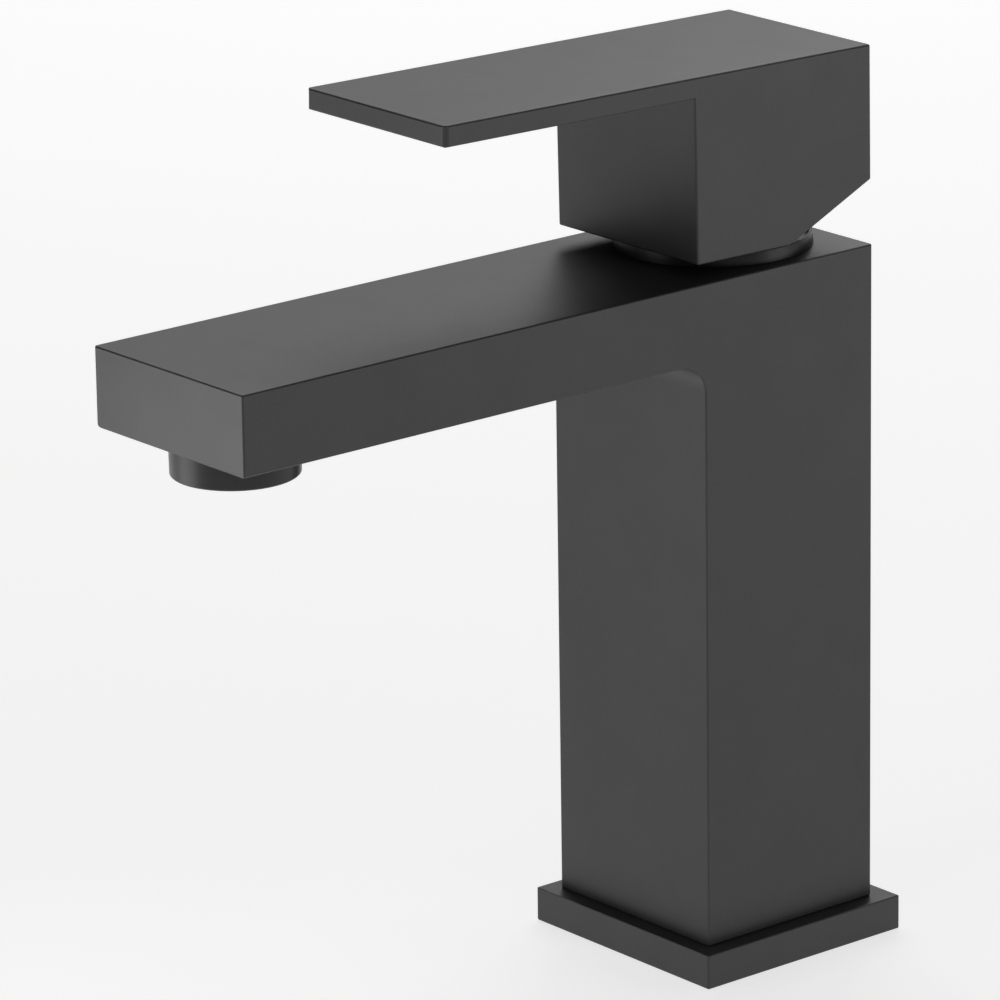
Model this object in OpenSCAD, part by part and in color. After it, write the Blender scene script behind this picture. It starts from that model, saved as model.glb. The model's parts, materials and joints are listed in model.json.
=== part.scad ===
// Single-lever basin mixer with a 35 mm ceramic cartridge.
// Millimetres. +Z is up and the spout points along -Y. The origin is on the deck, under the column's centre.

/* [Column and spout] */
// Width of the column and the spout, left to right
column_w = 43; // [42.5:0.25:48]
// Depth of the column, front to back
column_d = 41.5; // [41:0.25:46]
// Height of the body's flat top above the deck
body_top = 136.3; // [134:0.5:180]
// Length of the flat top, from the column's back face to the spout's tip
top_length = 148.4; // [140:0.5:170]
// Thickness of the spout
spout_t = 15.1; // [15:0.25:18]
// Radius of the fillet between the spout's underside and the column
spout_fillet = 6; // [3:0.5:8]

/* [Base plate] */
// Width of the square cover plate on the deck
plate_w = 50; // [50:0.5:60]
// Depth of the cover plate
plate_d = 49; // [49:0.5:60]
// Thickness of the cover plate
plate_t = 6.8; // [6:0.2:9]
// How far the plate sits behind the column's centre
plate_setback = 0.5; // [0:0.1:1]

/* [Handle] */
// Width of the handle
handle_w = 39.4; // [39:0.2:40]
// Reach of the lever's tip in front of the column's centre
lever_reach = 80.6; // [60:0.5:100]
// Thickness of the flat lever
lever_t = 4; // [3:0.5:6]
// Height of the handle, from the block's underside to the lever's top
handle_h = 35.3; // [34:0.1:38]
// Lever angle above level when the water is off
rest_lift = 1; // [0:0.5:1]
// Thickness of the handle's side walls
handle_wall = 2; // [1.8:0.1:2.2]

/* [Aerator] */
// Radius of the visible aerator ring
aerator_r = 11.9; // [11.5:0.1:12.5]
// How far the aerator ring stands below the spout
aerator_drop = 6.6; // [5:0.2:8]
// Distance from the spout's tip back to the aerator's centre
aerator_setback = 14.45; // [14.45:0.05:20]

/* [Connections] */
// Radius of each inlet hole, M10 x 1 thread drawn at its minor diameter
inlet_r = 4.5; // [4.3:0.1:4.7]
// Distance of each inlet from the column's centre line
inlet_x = 7.5; // [7.3:0.1:7.7]
// Radius of the stud hole, M8 thread drawn at its minor diameter
stud_r = 3.4; // [3.2:0.1:3.6]
// Depth of the threads in the inlet block
thread_depth = 12; // [10:0.5:12]

/* [Hidden] */
$fn = 64;

eps = 0.01;
black = "#2b2b2d";
brass = "#b08d4f";
rubber = "#151515";
ceramic = "#e8e6df";
white_plastic = "#d8d8d4";

// Deck plate, its gasket and the round foot, all centred on the tap hole
block_r = 17;
plate_hole_r = block_r + 0.4;
gasket_r = 21.3;
gasket_t = 1.8;
foot_ring_r = 18.6;
block_z = 1.5;
collar_top = 24;
block_top = collar_top - 2;
stud_y = 9;

// Column, spout and their waterways
column_front = -column_d / 2;
column_back = column_d / 2;
spout_tip = column_back - top_length;
spout_under = body_top - spout_t;
foot_z = plate_t;
cavity_wall = 3;
seat_z = body_top - 44.3;
floor_z = seat_z - 12;
chamber_r = 17.6;
nut_thread_r = 18.4;
nut_thread_z = body_top - 14.8;
passage_r = 2.8;
passage_half_w = 2;
passage_x = column_w / 2 - 5;
passage_y = column_front + 5.25;
cross_z = floor_z + 3.5;
channel_z = spout_under + 3;
channel_h = spout_t - 6;
channel_half_w = column_w / 2 - 2.5;
aerator_y = spout_tip + aerator_setback;
aerator_thread_r = 10.9;
aerator_thread_h = 6.5;
aerator_bore_r = 9.6;
aerator_mouth_r = 8.6;
aerator_lip = 1.6;
washer_t = 1.8;

// Riser tubes, which push into the inlet block and into the cartridge floor
riser_r = 5;
riser_bore_r = 4;
riser_depth = 6;
socket_r = riser_r + 0.05;
socket_groove_r = 6.2;
socket_groove_h = 1.6;
socket_groove_z = 2;
riser_ring_r = 5.6;
small_ring_r = 0.6;

// Cartridge: heights are measured down from the body's flat top
inlet_y = -5.6;
cartridge_r = 17.3;
peg_x = 13;
peg_y = 6;
peg_r = 1.5;
peg_h = 2;
seal_wall = 1;
seal_h = 1.2;
fixed_disc_r = 15;
disc_peg_x = 9;
disc_peg_h = 1.5;
port_x = 5.5;
port_y = -4.6;
port_r = 2.6;
outlet_y = 4.6;
outlet_r = 3.4;
base_top = seat_z + 5;
base_recess_z = seat_z + 3.5;
fixed_disc_top = base_recess_z + 4;
moving_disc_z = fixed_disc_top + 0.05;
moving_disc_top = moving_disc_z + 4.45;
moving_disc_r = 12.8;
driver_top = moving_disc_top + 11.6;
rail_h = 1.8;
rail_half_w = 5;
slide_gap = 0.3;
carrier_z = driver_top + slide_gap;
carrier_flange_top = carrier_z + 3.7;
housing_shoulder_z = body_top - 14.3;
nut_top = body_top - 2.3;
housing_neck_r = 13.5;
neck_bore_r = 11.45;
carrier_r = 11.4;
carrier_flange_r = 15.05;
carrier_top = body_top - 0.5;
cover_skirt_r = nut_thread_r - 0.15;
cover_skirt_in = 16.6;

// Lever pivot: the pin, and the ball that pushes the disc
pivot_z = body_top - 12.3;
lower_arm = 11;
ball_z = pivot_z - lower_arm;
ball_r = 3;
full_lift = 25;
disc_travel = lower_arm * sin(full_lift);
disc_rest_y = disc_travel / 2;
pin_r = 1.5;
stem_w = 7;
stem_top = pivot_z + 38;

// Handle profile, before it is turned to its rest angle about its underside
handle_z = body_top + 2.8;
lever_top = handle_z + handle_h;
lever_under = lever_top - lever_t;
block_front = -22;
block_back = 21.3;
front_lean = 2;
back_lean = 1.5;
chamfer_h = 9.5;
chamfer_d = 19.4;
hollow_top = handle_z + 19;
boss_z = handle_z + 5.5;
screw_z = handle_z + 16;
screw_r = 2.5;
plug_r = 3.15;
plug_depth = 4;

module box(low, high) {
    translate(low) cube(high - low);
}

module rod(r, z0, z1, at = [0, 0]) {
    translate([at[0], at[1], z0]) cylinder(r = r, h = z1 - z0);
}

module tube(outer, inner, z0, z1, at = [0, 0]) {
    difference() {
        rod(outer, z0, z1, at);
        rod(inner, z0 - eps, z1 + eps, at);
    }
}

module o_ring(centre_r, wire_r, z, at = [0, 0]) {
    translate([at[0], at[1], z]) rotate_extrude() translate([centre_r, 0]) circle(r = wire_r, $fn = 24);
}

module rod_x(r, x0, x1, y, z) {
    translate([x0, y, z]) rotate([0, 90, 0]) cylinder(r = r, h = x1 - x0);
}

module rod_y(r, y0, y1, x, z) {
    translate([x, y0, z]) rotate([-90, 0, 0]) cylinder(r = r, h = y1 - y0);
}

// ---- Body ----

module body_outline() {
    corner_y = column_front - spout_fillet;
    corner_z = spout_under - spout_fillet;
    difference() {
        union() {
            translate([column_front, foot_z]) square([column_d, body_top - foot_z]);
            translate([spout_tip, spout_under]) square([top_length, spout_t]);
            translate([corner_y, corner_z]) square([spout_fillet + eps, spout_fillet + eps]);
        }
        translate([corner_y, corner_z]) circle(r = spout_fillet);
    }
}

// From the cartridge's outlet to both sides, forward and up past the chamber, and into the spout's channel
module mixed_water_passages() {
    half = passage_half_w;
    cross_top = cross_z + 2 * half;
    channel_top = channel_z + channel_h;
    rod(outlet_r + 0.6, cross_z, seat_z + eps, [0, outlet_y]);
    box([-passage_x - half, outlet_y - half, cross_z], [passage_x + half, outlet_y + half, cross_top]);
    for (side = [-1, 1]) {
        x = side * passage_x;
        box([x - half, passage_y, cross_z], [x + half, outlet_y, cross_top]);
        rod(passage_r, cross_z, channel_z + 1, [x, passage_y]);
        box([x - half - 0.5, passage_y - 9.5, channel_z], [x + half + 0.5, passage_y, channel_top]);
    }
}

// The spout's water channel, and the threaded seat that the aerator screws into
module spout_channel() {
    seat_top = spout_under + aerator_thread_h + washer_t;
    boss_top = seat_top + 1.5;
    difference() {
        box(
            [-channel_half_w, spout_tip + 4, channel_z],
            [channel_half_w, column_front - 1.75, channel_z + channel_h]
        );
        rod(aerator_thread_r + 2.6, channel_z - eps, boss_top, [0, aerator_y]);
    }
    rod(aerator_thread_r, spout_under - eps, seat_top, [0, aerator_y]);
    rod(aerator_bore_r - 0.6, seat_top - eps, boss_top + eps, [0, aerator_y]);
}

// A socket for a riser tube, with the groove for its O-ring
module riser_socket(side, z) {
    at = [side * inlet_x, inlet_y];
    rod(socket_r, z - eps, z + riser_depth + eps, at);
    rod(socket_groove_r, z + socket_groove_z, z + socket_groove_z + socket_groove_h, at);
}

module body_shell() {
    cavity_x = column_w / 2 - cavity_wall;
    cavity_y = column_d / 2 - cavity_wall;
    color(black) difference() {
        rotate([90, 0, 90]) translate([0, 0, -column_w / 2]) linear_extrude(column_w) body_outline();
        rod(block_r, foot_z - eps, collar_top + eps);
        box([-cavity_x, -cavity_y, collar_top], [cavity_x, cavity_y, floor_z]);
        rod(chamber_r, seat_z, nut_thread_z + eps);
        rod(nut_thread_r, nut_thread_z, body_top + eps);
        for (side = [-1, 1]) {
            rod(port_r, floor_z - eps, seat_z + eps, [side * port_x, port_y]);
            riser_socket(side, floor_z);
            rod(peg_r + 0.1, seat_z - peg_h - 0.2, seat_z + eps, [side * peg_x, peg_y]);
        }
        mixed_water_passages();
        spout_channel();
    }
}

module base_plate() {
    color(black) difference() {
        box(
            [-plate_w / 2, plate_setback - plate_d / 2, 0],
            [plate_w / 2, plate_setback + plate_d / 2, plate_t]
        );
        rod(plate_hole_r, -eps, plate_t + eps);
        rod(gasket_r + 0.2, -eps, gasket_t);
        tube(foot_ring_r + 0.8, foot_ring_r - 0.8, plate_t - 2 * small_ring_r, plate_t + eps);
    }
}

module base_gasket() {
    color(rubber) tube(gasket_r, plate_hole_r, 0, gasket_t);
}

module foot_o_ring() {
    color(rubber) o_ring(foot_ring_r, small_ring_r, plate_t - small_ring_r);
}

// ---- Inlets ----

module inlet_block() {
    thread_end = block_z + thread_depth;
    socket_z = block_top - riser_depth;
    color(brass) difference() {
        rod(block_r, block_z, block_top);
        for (side = [-1, 1]) {
            rod(inlet_r, block_z - eps, thread_end, [side * inlet_x, inlet_y]);
            rod(inlet_r - 1, thread_end - eps, socket_z + eps, [side * inlet_x, inlet_y]);
            riser_socket(side, socket_z);
        }
        rod(stud_r, block_z - eps, thread_end, [0, stud_y]);
    }
}

module riser_tube(side) {
    lower_end = block_top - riser_depth;
    upper_end = floor_z + riser_depth;
    color(brass) tube(riser_r, riser_bore_r, lower_end, upper_end, [side * inlet_x, inlet_y]);
}

module riser_o_rings() {
    ring_height = socket_groove_z + socket_groove_h / 2;
    color(rubber) for (side = [-1, 1], socket = [block_top - riser_depth, floor_z]) {
        o_ring(riser_ring_r, small_ring_r, socket + ring_height, [side * inlet_x, inlet_y]);
    }
}

// ---- Cartridge ----

// The two inlets and the outlet through a cartridge part, each made larger by extra
module ports(z0, z1, extra = 0) {
    for (side = [-1, 1]) {
        rod(port_r + extra, z0, z1, [side * port_x, port_y]);
    }
    rod(outlet_r + extra, z0, z1, [0, outlet_y]);
}

module port_seals(z) {
    color(rubber) difference() {
        ports(z, z + seal_h, seal_wall);
        ports(z - eps, z + seal_h + eps);
    }
}

module cartridge_base() {
    color(white_plastic) difference() {
        union() {
            rod(cartridge_r, seat_z, base_top);
            for (side = [-1, 1]) {
                rod(peg_r, seat_z - peg_h, seat_z + eps, [side * peg_x, peg_y]);
            }
        }
        rod(fixed_disc_r + 0.1, base_recess_z, base_top + eps);
        ports(seat_z - eps, base_top);
        ports(seat_z - eps, seat_z + seal_h, seal_wall);
        ports(base_recess_z - seal_h, base_recess_z + eps, seal_wall);
    }
}

module fixed_ceramic_disc() {
    color(ceramic) difference() {
        rod(fixed_disc_r, base_recess_z, fixed_disc_top);
        ports(base_recess_z - eps, fixed_disc_top + eps);
    }
}

// The two pegs that hold the moving disc to its driver
module disc_pegs() {
    for (side = [-1, 1]) {
        rod(peg_r, moving_disc_top - disc_peg_h, moving_disc_top + eps, [side * disc_peg_x, disc_rest_y]);
    }
}

module moving_ceramic_disc() {
    mixing_h = 2.6;
    color(ceramic) difference() {
        rod(moving_disc_r, moving_disc_z, moving_disc_top, [0, disc_rest_y]);
        rod(4, moving_disc_z - eps, moving_disc_z + mixing_h);
        rod(5.5, moving_disc_z - eps, moving_disc_z + mixing_h, [0, 5]);
        disc_pegs();
    }
}

// The slot takes the stem's ball, and is longer at the top, where the stem leans back
module disc_driver() {
    slot = ball_r + 0.3;
    color(white_plastic) difference() {
        union() {
            rod(moving_disc_r - 0.2, moving_disc_top, driver_top, [0, disc_rest_y]);
            box([-rail_half_w, -7, driver_top - eps], [rail_half_w, 12, driver_top + rail_h]);
            disc_pegs();
        }
        box([-slot, -slot, ball_z - ball_r - 0.5], [slot, slot, driver_top + rail_h + eps]);
        box([-slot, -slot, ball_z + ball_r / 2], [slot, slot + 2.1, driver_top + rail_h + eps]);
    }
}

module cartridge_housing() {
    color(white_plastic) difference() {
        union() {
            rod(cartridge_r, base_top, housing_shoulder_z);
            rod(housing_neck_r, housing_shoulder_z - eps, carrier_top);
        }
        rod(carrier_flange_r + 0.35, base_top - eps, carrier_flange_top + slide_gap);
        rod(neck_bore_r, carrier_flange_top, carrier_top + eps);
    }
}

module stem_carrier() {
    slot_x = stem_w / 2 + slide_gap;
    rail_x = rail_half_w + slide_gap;
    groove_z = carrier_top - 5.2;
    color(white_plastic) difference() {
        union() {
            rod(carrier_flange_r, carrier_z, carrier_flange_top);
            rod(carrier_r, carrier_flange_top - eps, carrier_top);
        }
        box([-rail_x, -16, carrier_z - eps], [rail_x, 16, carrier_z + rail_h + slide_gap]);
        box([-slot_x, -8.5, carrier_z - eps], [slot_x, 4.2, pivot_z + eps]);
        box([-slot_x, -4, pivot_z - 2], [slot_x, 10, carrier_top + eps]);
        rod_x(pin_r, -carrier_r - 1, carrier_r + 1, 0, pivot_z);
        tube(carrier_r + 1, carrier_r - 1.3, groove_z, groove_z + 1.8);
    }
}

module pivot_pin() {
    color("silver") rod_x(pin_r, -carrier_r + 0.4, carrier_r - 0.4, 0, pivot_z);
}

module carrier_o_ring() {
    color(rubber) o_ring(carrier_r - 0.7, small_ring_r, carrier_top - 4.3);
}

module cartridge_nut() {
    color(brass) difference() {
        rod(nut_thread_r - 0.05, housing_shoulder_z, nut_top);
        rod(housing_neck_r + 0.3, housing_shoulder_z - eps, nut_top + eps);
        for (turn = [0:60:120]) {
            rotate([0, 0, turn]) box([-20, -1.5, nut_top - 2.5], [20, 1.5, nut_top + eps]);
        }
    }
}

module temperature_limit_ring() {
    ring_top = nut_top + 1.6;
    color("firebrick") difference() {
        union() {
            tube(15.6, housing_neck_r + 0.1, nut_top, ring_top);
            for (turn = [0:15:345]) {
                rotate([0, 0, turn]) box([15.4, -0.6, nut_top], [16.2, 0.6, ring_top]);
            }
        }
        rotate([0, 0, 90]) box([13, -3, nut_top + 0.8], [17, 3, ring_top + eps]);
    }
}

module cover_ring() {
    foot_r = 18.9;
    rim_r = foot_r - 0.3;
    rim_in = rim_r - 0.6;
    hole_r = carrier_r - 0.2;
    top_z = handle_z - 0.25;
    web_z = body_top + 0.9;
    skirt_z = body_top - 2.1;
    color(black) rotate_extrude() difference() {
        polygon([
            [hole_r, body_top], [cover_skirt_in, body_top], [cover_skirt_in, skirt_z],
            [cover_skirt_r, skirt_z], [cover_skirt_r, body_top], [foot_r, body_top],
            [rim_r, top_z], [rim_in, top_z], [rim_in, web_z], [hole_r, web_z]
        ]);
        translate([cover_skirt_r - 0.95, skirt_z + 0.5]) square([2, 1.2]);
    }
}

module cover_ring_o_ring() {
    color(rubber) o_ring(cover_skirt_r - 0.45, 0.5, body_top - 1);
}

// ---- Aerator ----

module aerator_housing() {
    flange_z = spout_under - aerator_drop;
    lip_z = flange_z + aerator_lip;
    thread_r = aerator_thread_r - 0.05;
    thread_top = spout_under + aerator_thread_h;
    color(black) translate([0, aerator_y, 0]) rotate_extrude() polygon([
        [aerator_mouth_r, flange_z], [aerator_r - 0.4, flange_z], [aerator_r - 0.1, flange_z + 0.3],
        [aerator_r, spout_under], [thread_r, spout_under], [thread_r, thread_top],
        [aerator_bore_r, thread_top], [aerator_bore_r, lip_z], [aerator_mouth_r, lip_z]
    ]);
}

module aerator_insert() {
    insert_z = spout_under - aerator_drop + aerator_lip;
    insert_top = spout_under + aerator_thread_h - 0.5;
    floor_top = insert_z + 1.6;
    hole_pitch = 2.7;
    color(white_plastic) difference() {
        rod(aerator_bore_r - 0.1, insert_z, insert_top, [0, aerator_y]);
        rod(aerator_mouth_r - 0.4, floor_top, insert_top + eps, [0, aerator_y]);
        for (ring = [0:2], turn = [0 : 360 / max(1, 6 * ring) : 359]) {
            translate([0, aerator_y, 0]) rotate([0, 0, turn])
                rod(0.85, insert_z - eps, floor_top + eps, [ring * hole_pitch, 0]);
        }
    }
}

module aerator_washer() {
    washer_z = spout_under + aerator_thread_h;
    color(rubber) tube(aerator_thread_r - 0.1, 7.8, washer_z, washer_z + washer_t, [0, aerator_y]);
}

// ---- Lever ----

module at_rest_angle() {
    translate([0, 0, handle_z]) rotate([-rest_lift, 0, 0]) translate([0, 0, -handle_z]) children();
}

module handle_outline() {
    chamfer_top = handle_z + chamfer_h;
    foot_front = block_front + tan(front_lean) * (lever_under - handle_z);
    chamfer_back = block_back + tan(back_lean) * (lever_top - chamfer_top);
    polygon([
        [-lever_reach, lever_top], [-lever_reach, lever_under], [block_front, lever_under],
        [foot_front, handle_z], [block_back - chamfer_d, handle_z],
        [chamfer_back, chamfer_top], [block_back, lever_top]
    ]);
}

// The round relief in the block's underside clears the cover ring when the lever is lifted
module handle() {
    inner_x = handle_w / 2 - handle_wall;
    inner_front = block_front + 3.6;
    inner_back = block_back - 2.1;
    past_back = block_back + 3;
    ring_relief_r = handle_w / 2 - 0.7;
    color(black) difference() {
        at_rest_angle() difference() {
            rotate([90, 0, 90]) translate([0, 0, -handle_w / 2]) linear_extrude(handle_w) handle_outline();
            difference() {
                box([-inner_x, inner_front, handle_z - 5], [inner_x, inner_back, hollow_top]);
                rod(8, boss_z, hollow_top + eps);
                box([-6, 0, screw_z - 4.5], [6, inner_back + eps, hollow_top + eps]);
            }
            rod(ring_relief_r, handle_z - 1, handle_z + 2);
            rod_y(screw_r, 0, past_back, 0, screw_z);
            rod_y(plug_r + 0.05, block_back - plug_depth, past_back, 0, screw_z);
        }
        box(
            [-stem_w / 2, -stem_w / 2, handle_z],
            [stem_w / 2, stem_w / 2, stem_top + 0.5]
        );
    }
}

module stem() {
    color("silver") difference() {
        union() {
            box(
                [-stem_w / 2, -stem_w / 2, pivot_z - 5],
                [stem_w / 2, stem_w / 2, stem_top]
            );
            rod(2.6, ball_z, pivot_z - 5 + eps);
            translate([0, 0, ball_z]) sphere(r = ball_r);
        }
        rod_x(pin_r + 0.05, -stem_w, stem_w, 0, pivot_z);
    }
}

module handle_screw() {
    color("dimgray") at_rest_angle() difference() {
        rod_y(screw_r - 0.02, stem_w / 2 + 0.35, 13.5, 0, screw_z);
        rod_y(1.25, 10.5, 14, 0, screw_z, $fn = 6);
    }
}

module index_plug() {
    hole_end = block_back - plug_depth;
    face_y = block_back + tan(back_lean) * (lever_top - screw_z);
    color("firebrick") at_rest_angle() rod_y(plug_r, hole_end + 0.2, face_y - 0.1, 0, screw_z);
}

body_shell();
base_plate();
base_gasket();
foot_o_ring();
inlet_block();
riser_tube(1);  // cold_riser_tube
riser_tube(-1);  // hot_riser_tube
riser_o_rings();
port_seals(seat_z);  // seat_seals
cartridge_base();
port_seals(base_recess_z - seal_h);  // disc_seals
fixed_ceramic_disc();
cartridge_housing();
cartridge_nut();
temperature_limit_ring();
cover_ring();
cover_ring_o_ring();
aerator_housing();
aerator_insert();
aerator_washer();
stem_carrier();
pivot_pin();
carrier_o_ring();
stem();
handle();
handle_screw();
index_plug();
disc_driver();
moving_ceramic_disc();
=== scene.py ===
"""Square single-lever basin mixer in satin black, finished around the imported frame.

Lengths are in metres, in the frame's own axes: +Z up, the spout along -Y, the deck at z = 0.
"""
import json
import math

import bmesh
import bpy
from mathutils import Matrix, Vector


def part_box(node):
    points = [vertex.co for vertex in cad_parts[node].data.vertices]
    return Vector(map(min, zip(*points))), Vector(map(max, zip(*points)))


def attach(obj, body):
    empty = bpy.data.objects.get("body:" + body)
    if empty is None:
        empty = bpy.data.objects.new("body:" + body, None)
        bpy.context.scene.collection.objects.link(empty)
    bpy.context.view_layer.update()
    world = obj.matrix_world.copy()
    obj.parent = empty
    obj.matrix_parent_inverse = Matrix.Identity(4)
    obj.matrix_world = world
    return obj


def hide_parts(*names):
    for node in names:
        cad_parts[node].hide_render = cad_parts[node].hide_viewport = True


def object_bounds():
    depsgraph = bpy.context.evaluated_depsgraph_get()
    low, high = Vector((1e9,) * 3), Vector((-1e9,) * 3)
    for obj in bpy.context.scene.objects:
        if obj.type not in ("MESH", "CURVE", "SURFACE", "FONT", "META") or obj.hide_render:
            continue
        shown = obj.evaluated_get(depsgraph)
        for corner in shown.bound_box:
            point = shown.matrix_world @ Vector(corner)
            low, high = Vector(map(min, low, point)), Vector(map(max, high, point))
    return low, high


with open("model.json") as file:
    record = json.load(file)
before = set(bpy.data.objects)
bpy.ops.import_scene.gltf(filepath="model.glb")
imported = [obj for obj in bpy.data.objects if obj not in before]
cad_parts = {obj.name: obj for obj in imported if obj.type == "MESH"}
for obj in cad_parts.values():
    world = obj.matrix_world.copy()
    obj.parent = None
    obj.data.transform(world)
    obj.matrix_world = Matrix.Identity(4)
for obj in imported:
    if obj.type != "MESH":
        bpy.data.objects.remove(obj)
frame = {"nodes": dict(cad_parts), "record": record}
CAD_LOW, CAD_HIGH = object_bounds()
NODES = frame["nodes"]
MM = 0.001

# Faces that meet at less than this angle are shaded as one surface
SMOOTH_BELOW = math.radians(28)
# The bevel's width at an edge weight of 1
LARGEST_ROUNDING = 1.5 * MM
# The bevel's width on most edges of the body and the plate
EDGE_ROUNDING = 0.35 * MM
# Two coordinates closer than this are taken as equal
NEAR = 0.1 * MM
# How far the aerator's thread reaches into the spout
AERATOR_THREAD_HEIGHT = 6.5 * MM


# ---- Materials: small helpers, then one function for each finish ----

class Finish:
    """A node material with one Principled shader, and short ways to add texture nodes to it."""

    def __init__(self, name):
        self.material = bpy.data.materials.new(name)
        self.material.use_nodes = True
        self.tree = self.material.node_tree
        self.shader = self.tree.nodes["Principled BSDF"]
        self.place = self.tree.nodes.new("ShaderNodeTexCoord").outputs["Object"]
        self.normal = None

    def set(self, **values):
        """Sets the shader's own sockets, with an underscore for each space in a socket's name."""
        for socket, value in values.items():
            self.shader.inputs[socket.replace("_", " ")].default_value = value

    def node(self, kind, inputs=None, **settings):
        """A new node of this kind. An input is either a value or the output socket of another node."""
        made = self.tree.nodes.new(kind)
        for key, value in settings.items():
            setattr(made, key, value)
        for socket, value in (inputs or {}).items():
            if isinstance(value, bpy.types.NodeSocket):
                self.tree.links.new(value, made.inputs[socket])
            else:
                made.inputs[socket].default_value = value
        return made

    def stretched(self, scale):
        """Object coordinates multiplied by scale, so that a noise becomes streaks."""
        return self.node("ShaderNodeMapping", {"Vector": self.place, "Scale": scale}).outputs["Vector"]

    def noise(self, size, detail=2.0, along=None):
        """Noise between 0 and 1 whose features are about size metres across."""
        inputs = {"Vector": along or self.place, "Scale": 1 / size, "Detail": detail}
        return self.node("ShaderNodeTexNoise", inputs).outputs["Fac"]

    def spread(self, value, low, high):
        """Maps the middle of a noise's range onto low..high."""
        inputs = {"Value": value, "From Min": 0.3, "From Max": 0.7, "To Min": low, "To Max": high}
        return self.node("ShaderNodeMapRange", inputs).outputs["Result"]

    def mix(self, factor, dark, light):
        """Blends two colours by a factor. Inputs 6 and 7 and output 2 are the node's colour sockets."""
        made = self.node("ShaderNodeMix", data_type="RGBA")
        self.tree.links.new(factor, made.inputs["Factor"])
        for socket, colour in ((made.inputs[6], dark), (made.inputs[7], light)):
            if isinstance(colour, bpy.types.NodeSocket):
                self.tree.links.new(colour, socket)
            else:
                socket.default_value = (*colour, 1)
        return made.outputs[2]

    def feed(self, socket, value):
        """Links an output to one of the shader's sockets."""
        self.tree.links.new(value, self.shader.inputs[socket])

    def bump(self, height, depth):
        """Adds relief of about depth metres, on top of any relief already there."""
        inputs = {"Height": height, "Distance": depth}
        if self.normal:
            inputs["Normal"] = self.normal
        self.normal = self.node("ShaderNodeBump", inputs).outputs["Normal"]
        self.feed("Normal", self.normal)


def black_coating(name, dark, light, roughness, grain, gloss=0.5):
    """Satin black coating: a cloudy near-black with a fine grain and faint orange peel."""
    finish = Finish(name)
    clouds = finish.noise(14 * MM, detail=3)
    speckle = finish.noise(0.35 * MM, detail=1)
    tint = finish.mix(finish.spread(clouds, 0, 1), dark, light)
    freckled = finish.mix(finish.spread(speckle, 0, 0.25), tint, [1.5 * c for c in light])
    finish.feed("Base Color", freckled)
    sheen = finish.noise(9 * MM, detail=4)
    finish.feed("Roughness", finish.spread(sheen, roughness - 0.01, roughness + 0.01))
    finish.set(IOR=1.5, Specular_IOR_Level=gloss)
    finish.bump(finish.noise(2.4 * MM, detail=1), 0.004 * MM)
    finish.bump(speckle, grain)
    return finish.material


def machined(name, dark, light, roughness, streak_scale):
    """Bare metal with fine tool marks drawn out along one direction."""
    finish = Finish(name)
    marks = finish.noise(0.25 * MM, detail=3, along=finish.stretched(streak_scale))
    stains = finish.noise(6 * MM, detail=4)
    finish.feed("Base Color", finish.mix(finish.spread(stains, 0, 1), dark, light))
    finish.feed("Roughness", finish.spread(marks, roughness - 0.06, roughness + 0.1))
    finish.set(Metallic=1.0)
    finish.bump(marks, 0.006 * MM)
    return finish.material


def moulded(name, dark, light, roughness, mould_grain=0.5 * MM):
    """Moulded plastic, rubber or ground ceramic: slight clouds in the colour and a fine moulded grain."""
    finish = Finish(name)
    clouds = finish.noise(5 * MM, detail=3)
    grain = finish.noise(mould_grain, detail=2)
    finish.feed("Base Color", finish.mix(finish.spread(clouds, 0, 1), dark, light))
    finish.feed("Roughness", finish.spread(grain, roughness - 0.05, roughness + 0.05))
    finish.bump(grain, 0.004 * MM)
    return finish.material


def index_button():
    """Glossy index button, red on the hot side and blue on the cold side."""
    finish = Finish("index_button")
    side = finish.node("ShaderNodeSeparateXYZ", {"Vector": finish.place}).outputs["X"]
    cold = finish.node("ShaderNodeMath", {0: side, 1: 0.0}, operation="GREATER_THAN").outputs["Value"]
    finish.feed("Base Color", finish.mix(cold, (0.42, 0.012, 0.012), (0.012, 0.05, 0.34)))
    finish.feed("Roughness", finish.spread(finish.noise(0.8 * MM), 0.18, 0.26))
    finish.bump(finish.noise(1.5 * MM), 0.003 * MM)
    return finish.material


# The record's material slots, each with its finish
SLOT_FINISH = {
    "black_finish": black_coating(
        "satin_black", (0.026, 0.026, 0.028), (0.034, 0.033, 0.034), roughness=0.42, grain=0.006 * MM
    ),
    "black_trim": black_coating(
        "trim_black", (0.014, 0.014, 0.016), (0.020, 0.020, 0.021),
        roughness=0.34, grain=0.004 * MM, gloss=0.35,
    ),
    "brass": machined("turned_brass", (0.50, 0.34, 0.13), (0.62, 0.45, 0.20), 0.27, (1, 1, 12)),
    "steel": machined("ground_steel", (0.42, 0.42, 0.43), (0.56, 0.56, 0.57), 0.24, (1, 1, 10)),
    "rubber": moulded("black_rubber", (0.012, 0.012, 0.012), (0.022, 0.022, 0.021), 0.62, 0.3 * MM),
    "ceramic": moulded("ground_ceramic", (0.74, 0.73, 0.69), (0.83, 0.82, 0.79), 0.14, 0.2 * MM),
    "cartridge_plastic": moulded("white_acetal", (0.66, 0.66, 0.63), (0.74, 0.74, 0.72), 0.36),
    "aerator_plastic": moulded("grey_acetal", (0.52, 0.54, 0.55), (0.60, 0.62, 0.63), 0.30, 0.3 * MM),
    "red_plastic": moulded("red_acetal", (0.40, 0.02, 0.018), (0.50, 0.03, 0.026), 0.26),
    "index_plastic": index_button(),
}


def paint(piece, material):
    """Makes this the piece's only material."""
    piece.data.materials.clear()
    piece.data.materials.append(material)


def slot_of(node):
    """The material slot that the record gives a CAD node."""
    return next(part["material_slot"] for part in frame["record"]["subparts"] if part["node"] == node)


# ---- Meshes ----

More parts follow.
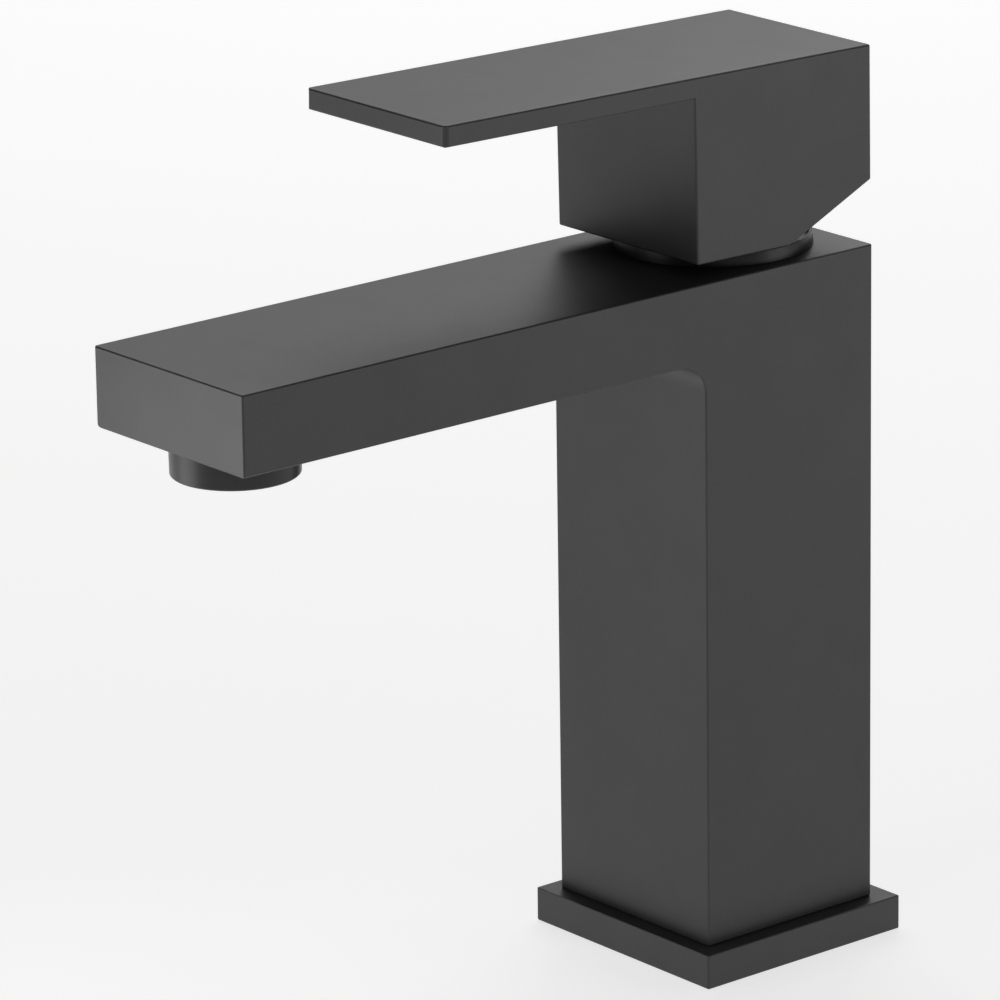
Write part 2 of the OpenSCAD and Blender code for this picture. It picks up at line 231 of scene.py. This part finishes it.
def add_piece(name, form, body, slot, *replaced):
    """Turns a bmesh into a smooth-shaded piece that rides on a body and stands for CAD nodes."""
    mesh = bpy.data.meshes.new(name)
    form.normal_update()
    form.to_mesh(mesh)
    form.free()
    for face in mesh.polygons:
        face.use_smooth = True
    mesh.set_sharp_from_angle(angle=SMOOTH_BELOW)
    piece = bpy.data.objects.new(name, mesh)
    bpy.context.scene.collection.objects.link(piece)
    paint(piece, SLOT_FINISH[slot])
    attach(piece, body)
    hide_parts(*replaced)
    return piece


def cad_form(node):
    """A CAD node's mesh as a bmesh, with its split corners joined and its flat faces merged."""
    form = bmesh.new()
    form.from_mesh(NODES[node].data)
    bmesh.ops.remove_doubles(form, verts=form.verts, dist=0.002 * MM)
    bmesh.ops.dissolve_limit(form, angle_limit=math.radians(0.4), verts=form.verts, edges=form.edges)
    return form


def apply_modifiers(piece):
    """Replaces a piece's mesh by its evaluated one, so that the helper objects can go."""
    bpy.context.view_layer.update()
    final = piece.evaluated_get(bpy.context.evaluated_depsgraph_get())
    mesh = bpy.data.meshes.new_from_object(final)
    piece.modifiers.clear()
    piece.data = mesh


def round_outside(form, half_width, radius_at):
    """Marks the outer edges of a form that was extruded across X: convex, with both ends on its sides."""
    form.normal_update()
    weight = form.edges.layers.float.new("bevel_weight_edge")
    for edge in form.edges:
        on_sides = all(abs(abs(v.co.x) - half_width) < 0.1 * NEAR for v in edge.verts)
        if on_sides and edge.is_convex and edge.calc_face_angle(0) > SMOOTH_BELOW:
            edge[weight] = radius_at(edge) / LARGEST_ROUNDING


def soften(piece):
    """Rounds the edges marked by round_outside, and keeps the flat faces flat in the shading."""
    bevel = piece.modifiers.new("edge_rounding", "BEVEL")
    bevel.limit_method = "WEIGHT"
    bevel.width = LARGEST_ROUNDING
    bevel.segments = 6
    bevel.use_clamp_overlap = False
    apply_modifiers(piece)
    shade_by_area(piece.data)


def shade_by_area(mesh):
    """Gives each face corner the mean normal of the faces that meet there smoothly, led by the largest."""
    around = [[] for _ in mesh.vertices]
    for face in mesh.polygons:
        for vertex in face.vertices:
            around[vertex].append(face)
    normals = []
    for face in mesh.polygons:
        for vertex in face.vertices:
            smooth = [other for other in around[vertex] if other.normal.angle(face.normal, 0) < SMOOTH_BELOW]
            total = sum((other.normal * other.area ** 2 for other in smooth), Vector())
            normals.append(total.normalized() if total.length > 0 else face.normal.copy())
    mesh.normals_split_custom_set(normals)


def rounded(corners, radius):
    """A closed outline with each corner turned into a curve, as far as its neighbours leave room."""
    steps = 4
    points = []
    count = len(corners)
    for i, corner in enumerate(corners):
        here = Vector(corner)
        to_last = Vector(corners[i - 1]) - here
        to_next = Vector(corners[(i + 1) % count]) - here
        half_angle = to_last.angle(to_next) / 2
        cut = min(radius / math.tan(half_angle), 0.45 * to_last.length, 0.45 * to_next.length)
        start = here + to_last.normalized() * cut
        end = here + to_next.normalized() * cut
        for step in range(steps + 1):
            t = step / steps
            points.append(start * (1 - t) ** 2 + here * 2 * t * (1 - t) + end * t ** 2)
    return points


def lathe(outline, turns=144):
    """Turns a closed outline of (radius, height) points about Z."""
    form = bmesh.new()
    rings = []
    for turn in range(turns):
        angle = math.tau * turn / turns
        cosine, sine = math.cos(angle), math.sin(angle)
        rings.append([form.verts.new((r * cosine, r * sine, z)) for r, z in outline])
    for turn, ring in enumerate(rings):
        following = rings[(turn + 1) % turns]
        for i in range(len(outline)):
            j = (i + 1) % len(outline)
            form.faces.new((ring[i], following[i], following[j], ring[j]))
    bmesh.ops.recalc_face_normals(form, faces=form.faces)
    return form


def column_and_spout():
    """The body casting. The spout's lower left edge is rounded more from its middle to the tip."""
    low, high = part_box("body_shell")
    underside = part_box("aerator_housing")[1].z - AERATOR_THREAD_HEIGHT
    form = cad_form("body_shell")

    def at_left_underside(vertex):
        return abs(vertex.co.x - low.x) < NEAR and abs(vertex.co.z - underside) < NEAR

    lower_left_edge = max(
        (edge for edge in form.edges if all(at_left_underside(v) for v in edge.verts)),
        key=lambda edge: edge.calc_length(),
    )
    middle = bmesh.utils.edge_split(lower_left_edge, lower_left_edge.verts[0], 0.5)[1]

    def radius_at(edge):
        near_tip = all(at_left_underside(v) and v.co.y < middle.co.y + NEAR for v in edge.verts)
        return LARGEST_ROUNDING if near_tip else EDGE_ROUNDING

    round_outside(form, high.x, radius_at)
    soften(add_piece("column_and_spout", form, "mixer_body", "black_finish", "body_shell"))


def cover_plate():
    """The square plate on the deck."""
    form = cad_form("base_plate")
    round_outside(form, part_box("base_plate")[1].x, lambda edge: EDGE_ROUNDING)
    soften(add_piece("deck_cover_plate", form, "mixer_body", "black_finish", "base_plate"))


def lever_handle():
    """The block and its flat lever, with the lever's two tip corners rounded more than the other edges."""
    low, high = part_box("handle")
    form = cad_form("handle")
    tip_rounding, other_rounding = 1.1 * MM, 0.4 * MM

    def radius_at(edge):
        upright = abs(edge.verts[0].co.z - edge.verts[1].co.z) > 1 * MM
        at_tip = max(v.co.y for v in edge.verts) < low.y + 2 * MM
        return tip_rounding if upright and at_tip else other_rounding

    round_outside(form, high.x, radius_at)
    soften(add_piece("lever_handle", form, "lever", "black_finish", "handle"))


def ring_under_handle():
    """The black ring on the body's top, with a web that closes the chamber round the stem's carrier."""
    low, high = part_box("cover_ring")
    body_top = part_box("body_shell")[1].z
    foot = high.x
    rim = foot - 0.3 * MM
    rim_in = rim - 0.6 * MM
    skirt_out = foot - 0.65 * MM
    skirt_in = 16.6 * MM
    hole = 11.2 * MM
    web_top = body_top + 0.9 * MM
    outline = [
        (hole, body_top), (skirt_in, body_top),
        (skirt_in, low.z), (skirt_out, low.z), (skirt_out, body_top),
        (foot, body_top), (rim, high.z), (rim_in, high.z),
        (rim_in, web_top), (hole, web_top),
    ]
    form = lathe(rounded(outline, 0.18 * MM))
    add_piece("ring_under_handle", form, "mixer_body", "black_trim", "cover_ring")


def upright_axis(low, high):
    """The centre of a box, at deck height."""
    return Vector(((low.x + high.x) / 2, (low.y + high.y) / 2, 0))


def aerator():
    """The black aerator ring, which tapers slightly down to a chamfered lower rim."""
    low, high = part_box("aerator_housing")
    outer = high.x
    thread, bore, mouth = 10.85 * MM, 9.6 * MM, 8.6 * MM
    chamfer_top = low.z + 0.3 * MM
    lip_top = low.z + 1.6 * MM
    underside = high.z - AERATOR_THREAD_HEIGHT
    outline = [
        (mouth, chamfer_top), (mouth + 0.5 * MM, low.z),
        (outer - 0.4 * MM, low.z), (outer - 0.1 * MM, chamfer_top),
        (outer, underside), (thread, underside),
        (thread, high.z), (bore, high.z),
        (bore, lip_top), (mouth, lip_top),
    ]
    form = lathe(rounded(outline, 0.2 * MM))
    bmesh.ops.translate(form, verts=form.verts, vec=upright_axis(low, high))
    add_piece("aerator_ring", form, "mixer_body", "black_trim", "aerator_housing")


def jet_grid():
    """The aerator's jet grid: a cup whose floor is a honeycomb."""
    low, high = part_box("aerator_insert")
    outer, inner = high.x, 8.2 * MM
    wall = [(inner, low.z), (outer, low.z), (outer, high.z), (inner, high.z)]
    form = lathe(rounded(wall, 0.15 * MM), turns=96)
    pitch = 1.9 * MM
    rows_each_way = 5
    rows = range(-rows_each_way, rows_each_way + 1)
    for row in rows:
        for column in rows:
            x = pitch * (column + row / 2)
            y = pitch * row * math.sqrt(3) / 2
            if math.hypot(x, y) < inner - 0.45 * pitch:
                honeycomb_cell(form, x, y, low.z + 0.1 * MM, pitch / math.sqrt(3))
    bmesh.ops.remove_doubles(form, verts=form.verts, dist=0.003 * MM)
    bmesh.ops.translate(form, verts=form.verts, vec=upright_axis(low, high))
    add_piece("jet_grid", form, "mixer_body", "aerator_plastic", "aerator_insert")


def honeycomb_cell(form, x, y, bottom, radius):
    """One open hexagonal cell, as a short tube with a wall of even thickness."""
    inside = radius - 0.32 * MM
    top = bottom + 1.8 * MM
    angles = [math.radians(30 + 60 * k) for k in range(6)]
    loops = []
    for r, z in ((radius, bottom), (inside, bottom), (inside, top), (radius, top)):
        loops.append([form.verts.new((x + r * math.cos(a), y + r * math.sin(a), z)) for a in angles])
    for i, loop in enumerate(loops):
        following = loops[(i + 1) % 4]
        for k in range(6):
            form.faces.new((loop[k], loop[(k + 1) % 6], following[(k + 1) % 6], following[k]))


def threaded_rod(radius, depth_of_thread, pitch, low, high, at):
    """A rod with a thread on it, used to cut a threaded hole. radius is the thread's smallest radius."""
    around = 40
    rings_a_turn = 8
    form = bmesh.new()
    rings = []
    count = int((high - low) / pitch * rings_a_turn)
    for ring in range(count + 1):
        z = low + (high - low) * ring / count
        verts = []
        for k in range(around):
            phase = ((z / pitch) - k / around) % 1.0
            r = radius + depth_of_thread * (1 - abs(2 * phase - 1))
            angle = math.tau * k / around
            verts.append(form.verts.new((at.x + r * math.cos(angle), at.y + r * math.sin(angle), z)))
        rings.append(verts)
    for lower, upper in zip(rings, rings[1:]):
        for k in range(around):
            j = (k + 1) % around
            form.faces.new((lower[k], lower[j], upper[j], upper[k]))
    form.faces.new(rings[0][::-1])
    form.faces.new(rings[-1])
    return form


def inlet_block():
    """The brass foot, with real threads in the two inlets and in the stud hole."""
    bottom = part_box("inlet_block")[0].z
    block = add_piece("threaded_inlet_block", cad_form("inlet_block"), "mixer_body", "brass", "inlet_block")
    for mount in frame["record"]["mounts"]:
        if mount["kind"] != "threaded_hole":
            continue
        at = Vector(mount["pos_m"])
        radius, length = mount["dims"]["r_mm"] * MM, mount["dims"]["length_mm"] * MM
        is_inlet = radius > 4 * MM
        pitch = 1.0 * MM if is_inlet else 1.25 * MM
        root = radius - 0.01 * MM
        form = threaded_rod(root, 0.45 * pitch, pitch, bottom - pitch, bottom + length - pitch, at)
        mesh = bpy.data.meshes.new("cutter")
        form.to_mesh(mesh)
        form.free()
        cutter = bpy.data.objects.new("cutter", mesh)
        bpy.context.scene.collection.objects.link(cutter)
        cut = block.modifiers.new("thread", "BOOLEAN")
        cut.operation = "DIFFERENCE"
        cut.object = cutter
        cut.solver = "EXACT"
        apply_modifiers(block)
        bpy.data.objects.remove(cutter)
    block.data.set_sharp_from_angle(angle=SMOOTH_BELOW)


column_and_spout()
cover_plate()
lever_handle()
ring_under_handle()
aerator()
jet_grid()
inlet_block()
for name, node in NODES.items():
    if not node.hide_render:
        paint(node, SLOT_FINISH[slot_of(name)])


# ---- Studio: pale floor, soft lights, camera ----

def pale_floor():
    """A wide disc that glows a little, which lights the object's sides evenly and keeps its shadow faint."""
    glow = 0.7
    form = bmesh.new()
    bmesh.ops.create_circle(form, cap_ends=True, segments=96, radius=14.0)
    mesh = bpy.data.meshes.new("studio_floor")
    form.to_mesh(mesh)
    form.free()
    floor = bpy.data.objects.new("studio_floor", mesh)
    bpy.context.scene.collection.objects.link(floor)
    finish = Finish("pale_floor")
    finish.feed("Base Color", finish.mix(finish.noise(0.4), (0.48, 0.48, 0.48), (0.50, 0.50, 0.50)))
    finish.set(Roughness=0.9, Specular_IOR_Level=0.1, Emission_Color=(1, 1, 1, 1), Emission_Strength=glow)
    floor.data.materials.append(finish.material)


def back_direction(azimuth, elevation):
    """The direction from the object to a viewer at this azimuth and elevation, in degrees."""
    turn, rise = math.radians(azimuth), math.radians(elevation)
    return Vector((math.sin(turn) * math.cos(rise), -math.cos(turn) * math.cos(rise), math.sin(rise)))


def soft_box(name, azimuth, elevation, distance, size, power, aim=(CAD_LOW + CAD_HIGH) / 2):
    """A square area light that faces a point. Azimuth 0 is in front of the spout and 90 on the +X side."""
    light = bpy.data.lights.new(name, "AREA")
    light.size = size
    light.energy = power
    lamp = bpy.data.objects.new(name, light)
    bpy.context.scene.collection.objects.link(lamp)
    away = back_direction(azimuth, elevation)
    lamp.location = Vector(aim) + away * distance
    lamp.rotation_euler = away.to_track_quat("Z", "Y").to_euler()
    lamp.visible_camera = False


def studio_camera():
    """A long lens at the front right of the object, aimed a little behind and to the left of its centre."""
    azimuth, elevation, roll = 50.47, 17.25, -0.85
    distance = 1.282
    lens_mm = 243.7
    aim = (CAD_LOW + CAD_HIGH) / 2 + Vector((-27.1, 21.3, -2.1)) * MM
    away = back_direction(azimuth, elevation)
    data = bpy.data.cameras.new("camera")
    data.lens = lens_mm
    camera = bpy.data.objects.new("camera", data)
    bpy.context.scene.collection.objects.link(camera)
    upright = away.to_track_quat("Z", "Y")
    camera.rotation_mode = "QUATERNION"
    camera.rotation_quaternion = upright @ Matrix.Rotation(math.radians(roll), 3, "Z").to_quaternion()
    camera.location = aim + away * distance
    bpy.context.scene.camera = camera


def studio_world():
    """A white backdrop for views along the floor. It sheds no light: the floor and the lamps do."""
    world = bpy.data.worlds.new("studio")
    world.use_nodes = True
    world.node_tree.nodes["Background"].inputs["Color"].default_value = (1, 1, 1, 1)
    world.node_tree.nodes["Background"].inputs["Strength"].default_value = 1.0
    bpy.context.scene.world = world
    world.cycles_visibility.diffuse = False
    world.cycles_visibility.glossy = False


pale_floor()
studio_world()

# Each lamp: name, azimuth, elevation, distance, size, power. The left and back boxes give the flat tops their
# sheen in the camera's view, and the fill boxes do so for views from other sides.
soft_box("left_box", -100, 45, 1.6, 0.7, 2.2)
soft_box("back_left_box", -125, 35, 1.6, 0.9, 3.8)
soft_box("back_box", -150, 35, 1.6, 0.9, 3.8)
soft_box("right_card", 130, 10, 0.6, 0.3, 0.38)
for azimuth in (0, 75, 180):
    soft_box("fill_box", azimuth, 38, 2.4, 1.6, 3.5)

# Two small cards close to the spout's tip
spout_tip = (0, CAD_LOW.y, 0.125)
soft_box("front_card", -25, 5, 0.25, 0.16, 0.09, aim=spout_tip)
soft_box("spout_card", -40, -20, 0.12, 0.08, 0.041, aim=spout_tip)
studio_camera()
bpy.context.scene.view_settings.view_transform = "Standard"

bpy.context.view_layer.update()
